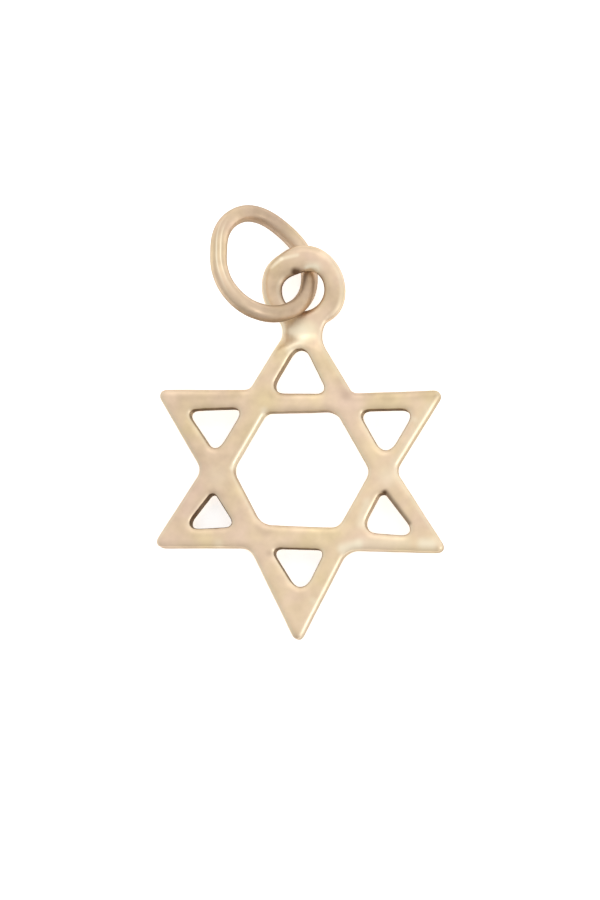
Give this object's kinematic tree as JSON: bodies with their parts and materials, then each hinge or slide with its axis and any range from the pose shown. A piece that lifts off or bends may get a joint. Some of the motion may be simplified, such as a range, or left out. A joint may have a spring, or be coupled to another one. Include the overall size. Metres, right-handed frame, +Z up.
{
  "type": "star of david pendant",
  "caption": "Flat cast six-pointed star charm of two crossed triangles, pierced between its bars, with a round eye and a closed jump ring, lying flat.",
  "frame": {"origin": "middle of the bounding box's bottom face, on the surface that the pendant lies on", "axes": "+Y along the star towards its eye, +X to the right seen from above, +Z up from the surface"},
  "size_m": [0.0134, 0.0206, 0.0043],
  "materials": {
    "star_gold": "satin pale rose-yellow gold, worn and rounded at its edges",
    "ring_gold": "drawn gold wire, softly polished"
  },
  "bodies": {
    "root": {"star": "star_gold", "jump_ring": "ring_gold"}
  },
  "joints": []
}
